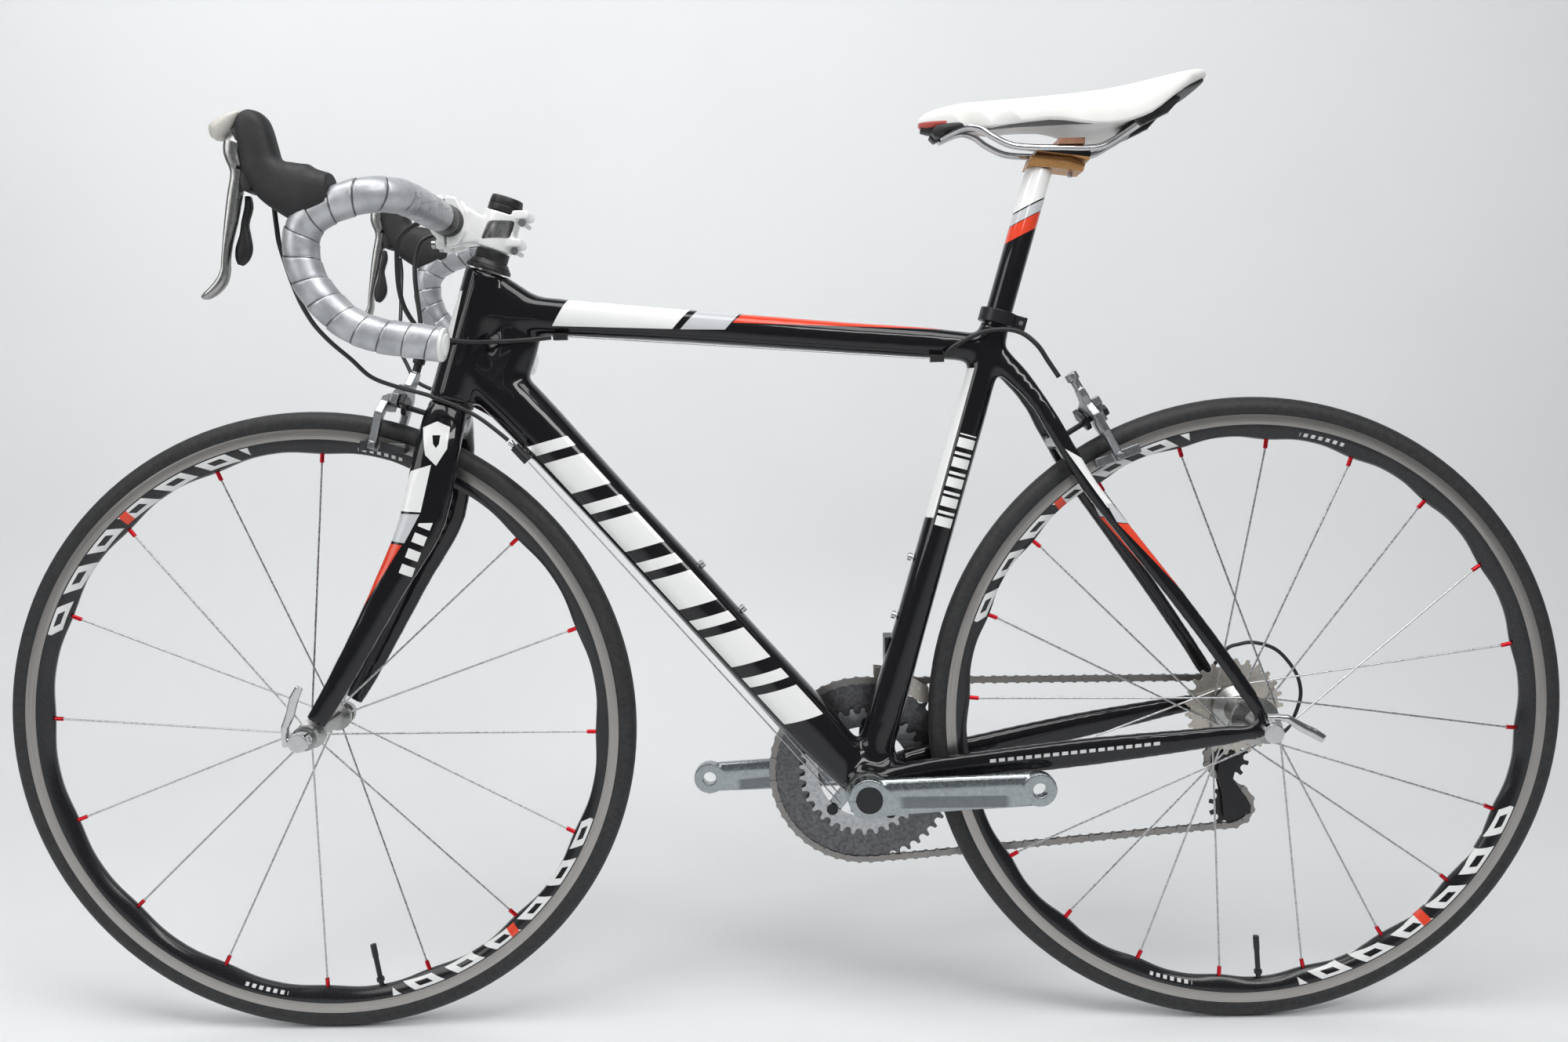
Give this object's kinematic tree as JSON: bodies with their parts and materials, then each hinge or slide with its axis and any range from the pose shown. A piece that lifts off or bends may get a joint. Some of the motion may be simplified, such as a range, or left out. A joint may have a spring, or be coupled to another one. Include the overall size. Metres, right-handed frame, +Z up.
{
  "type": "road bicycle",
  "caption": "Road racing bicycle with carbon frame, drop bars, rim brakes, double crankset, derailleur gears and quick-release wheels, shown without pedals.",
  "frame": {"origin": "on the ground in the mid-plane, midway between the two wheel contacts", "axes": "+X forward along the bicycle, +Y to the rider's left (the side away from the chain), +Z up"},
  "size_m": [1.6469, 0.4114, 0.9907],
  "materials": {
    "carbon_gloss": "clear-coated black carbon fibre",
    "alloy_satin": "satin aluminium",
    "alloy_black": "black anodised aluminium",
    "alloy_white": "gloss white paint",
    "rim_alloy": "machined brake track over a dark band",
    "steel_polished": "polished steel",
    "steel_brushed": "bare steel",
    "ring_grey": "dark grey anodised",
    "tyre_black": "black rubber",
    "hood_rubber": "soft black rubber",
    "tape_silver": "silver synthetic wrap",
    "housing_black": "black cable housing",
    "saddle_shell": "moulded nylon",
    "saddle_white": "white synthetic leather"
  },
  "bodies": {
    "frame": {"frame": "carbon_gloss", "rear_dropouts": "alloy_satin", "bearing_cups": "alloy_black", "seat_clamp": "alloy_black", "seatpost": "carbon_gloss", "seatpost_head": "alloy_satin", "saddle_rails": "steel_polished", "saddle_base": "saddle_shell", "saddle_pad": "saddle_white", "frame_bolts": "steel_brushed", "cable_stops": "steel_brushed", "frame_housings": "housing_black", "bare_wires": "steel_brushed", "rear_brake_mount": "alloy_satin", "rear_axle": "steel_polished", "mech_knuckle": "alloy_black", "fd_mount": "alloy_satin", "chain": "steel_brushed"},
    "steering": {"fork": "carbon_gloss", "fork_inserts": "alloy_satin", "headset_stack": "alloy_black", "stem": "alloy_white", "stem_faceplate": "alloy_white", "cockpit_bolts": "steel_brushed", "handlebar": "alloy_black", "bar_tape": "tape_silver", "lever_hoods": "hood_rubber", "bar_housings": "housing_black", "front_brake_housing": "housing_black", "front_brake_mount": "alloy_satin", "front_axle": "steel_polished"},
    "front_wheel": {"front_tyre": "tyre_black", "front_rim": "rim_alloy", "front_spokes": "steel_brushed", "front_hub": "alloy_satin"},
    "rear_wheel": {"rear_tyre": "tyre_black", "rear_rim": "rim_alloy", "rear_spokes": "steel_brushed", "rear_hub": "alloy_satin"},
    "crankset": {"crank_arm_right": "alloy_satin", "crank_arm_left": "alloy_satin", "chainrings": "ring_grey", "crank_bolts": "steel_brushed"},
    "cassette": {"cassette": "steel_brushed"},
    "guide_pulley": {"guide_pulley": "housing_black"},
    "tension_pulley": {"tension_pulley": "housing_black"},
    "mech_link": {"mech_link": "alloy_black"},
    "mech_lower": {"mech_lower": "alloy_black"},
    "mech_cage": {"mech_cage": "alloy_black"},
    "front_mech": {"fd_cage": "steel_brushed"},
    "brake_lever_left": {"lever_left": "alloy_satin"},
    "brake_lever_right": {"lever_right": "alloy_satin"},
    "shift_paddle_left": {"paddle_left": "housing_black"},
    "shift_paddle_right": {"paddle_right": "housing_black"},
    "front_arm_left": {"front_arm_left": "alloy_satin"},
    "front_arm_right": {"front_arm_right": "alloy_satin"},
    "rear_arm_left": {"rear_arm_left": "alloy_satin"},
    "rear_arm_right": {"rear_arm_right": "alloy_satin"},
    "front_qr": {"front_qr_lever": "steel_polished"},
    "rear_qr": {"rear_qr_lever": "steel_polished"}
  },
  "joints": [
    {"name": "steering_turn", "type": "hinge", "parent": "frame", "child": "steering", "pos_m": [0.291, 0, 0.829], "axis": [-0.3007, 0, 0.9537], "range_deg": [-50, 50], "deforming": ["bar_housings"]},
    {"name": "front_wheel_spin", "type": "hinge", "parent": "steering", "child": "front_wheel", "pos_m": [0.4895, 0, 0.334], "axis": [0, 1, 0], "continuous": true},
    {"name": "rear_wheel_spin", "type": "hinge", "parent": "frame", "child": "rear_wheel", "pos_m": [-0.4895, 0, 0.334], "axis": [0, 1, 0], "continuous": true},
    {"name": "crank_spin", "type": "hinge", "parent": "frame", "child": "crankset", "pos_m": [-0.0888, 0, 0.263], "axis": [0, 1, 0], "continuous": true, "deforming": ["chain"]},
    {"name": "cassette_spin", "type": "hinge", "parent": "frame", "child": "cassette", "pos_m": [-0.4895, 0, 0.334], "axis": [0, 1, 0], "continuous": true},
    {"name": "rear_shift", "type": "hinge", "parent": "frame", "child": "mech_link", "pos_m": [-0.52212, -0.06254, 0.29339], "axis": [0.5423, 0.4687, 0.6972], "range_deg": [0, 48], "deforming": ["chain"]},
    {"name": "rear_shift_level", "type": "hinge", "parent": "mech_link", "child": "mech_lower", "pos_m": [-0.492, -0.076, 0.279], "axis": [0.5423, 0.4687, 0.6972], "range_deg": [-48, 0]},
    {"name": "cage_tension", "type": "hinge", "parent": "mech_lower", "child": "mech_cage", "pos_m": [-0.495, -0.066, 0.2585], "axis": [0, 1, 0], "range_deg": [-12, 30], "deforming": ["chain"]},
    {"name": "guide_pulley_spin", "type": "hinge", "parent": "mech_cage", "child": "guide_pulley", "pos_m": [-0.495, -0.06, 0.267], "axis": [0, 1, 0], "continuous": true},
    {"name": "tension_pulley_spin", "type": "hinge", "parent": "mech_cage", "child": "tension_pulley", "pos_m": [-0.501, -0.06, 0.213], "axis": [0, 1, 0], "continuous": true},
    {"name": "front_shift", "type": "slide", "parent": "frame", "child": "front_mech", "axis": [0, 1, 0], "range_m": [0, 0.0056], "deforming": ["chain"]},
    {"name": "brake_lever_left_pull", "type": "hinge", "parent": "steering", "child": "brake_lever_left", "pos_m": [0.466, 0.187, 0.88], "axis": [0, 1, 0], "range_deg": [0, 19], "stiffness_Nm_per_rad": 0.25, "springref_deg": -17.19},
    {"name": "shift_paddle_left_swing", "type": "hinge", "parent": "brake_lever_left", "child": "shift_paddle_left", "pos_m": [0.463, 0.181, 0.856], "axis": [-1, 0, 0], "range_deg": [0, 14], "stiffness_Nm_per_rad": 0.05, "springref_deg": -14.32},
    {"name": "brake_lever_right_pull", "type": "hinge", "parent": "steering", "child": "brake_lever_right", "pos_m": [0.466, -0.187, 0.88], "axis": [0, 1, 0], "range_deg": [0, 19], "stiffness_Nm_per_rad": 0.25, "springref_deg": -17.19},
    {"name": "shift_paddle_right_swing", "type": "hinge", "parent": "brake_lever_right", "child": "shift_paddle_right", "pos_m": [0.463, -0.181, 0.856], "axis": [1, 0, 0], "range_deg": [0, 14], "stiffness_Nm_per_rad": 0.05, "springref_deg": -14.32},
    {"name": "front_brake_right_arm", "type": "hinge", "parent": "steering", "child": "front_arm_right", "pos_m": [0.3886, 0.018, 0.6796], "axis": [0.9537, 0, 0.3007], "range_deg": [0, 1.9]},
    {"name": "front_brake_left_arm", "type": "hinge", "parent": "steering", "child": "front_arm_left", "pos_m": [0.391, 0, 0.672], "axis": [-0.9537, 0, -0.3007], "range_deg": [0, 1.9]},
    {"name": "rear_brake_left_arm", "type": "hinge", "parent": "frame", "child": "rear_arm_left", "pos_m": [-0.3199, -0.018, 0.6528], "axis": [-0.8554, 0, 0.518], "range_deg": [0, 1.9]},
    {"name": "rear_brake_right_arm", "type": "hinge", "parent": "frame", "child": "rear_arm_right", "pos_m": [-0.324, 0, 0.646], "axis": [0.8554, 0, -0.518], "range_deg": [0, 1.9]},
    {"name": "front_release", "type": "hinge", "parent": "steering", "child": "front_qr", "pos_m": [0.4895, 0.0665, 0.334], "axis": [-1, 0, 0], "range_deg": [0, 170]},
    {"name": "rear_release", "type": "hinge", "parent": "frame", "child": "rear_qr", "pos_m": [-0.4895, 0.0805, 0.334], "axis": [0, 0, -1], "range_deg": [0, 170]}
  ],
  "couplings": [
    {"joint": "cassette_spin", "follows": "crank_spin", "ratio": 4.1667},
    {"joint": "guide_pulley_spin", "follows": "crank_spin", "ratio": -4.5455},
    {"joint": "tension_pulley_spin", "follows": "crank_spin", "ratio": 4.5455},
    {"joint": "rear_shift_level", "follows": "rear_shift", "ratio": -1},
    {"joint": "front_brake_right_arm", "follows": "brake_lever_right_pull", "ratio": 0.1},
    {"joint": "front_brake_left_arm", "follows": "brake_lever_right_pull", "ratio": 0.1},
    {"joint": "rear_brake_left_arm", "follows": "brake_lever_left_pull", "ratio": 0.1},
    {"joint": "rear_brake_right_arm", "follows": "brake_lever_left_pull", "ratio": 0.1}
  ]
}
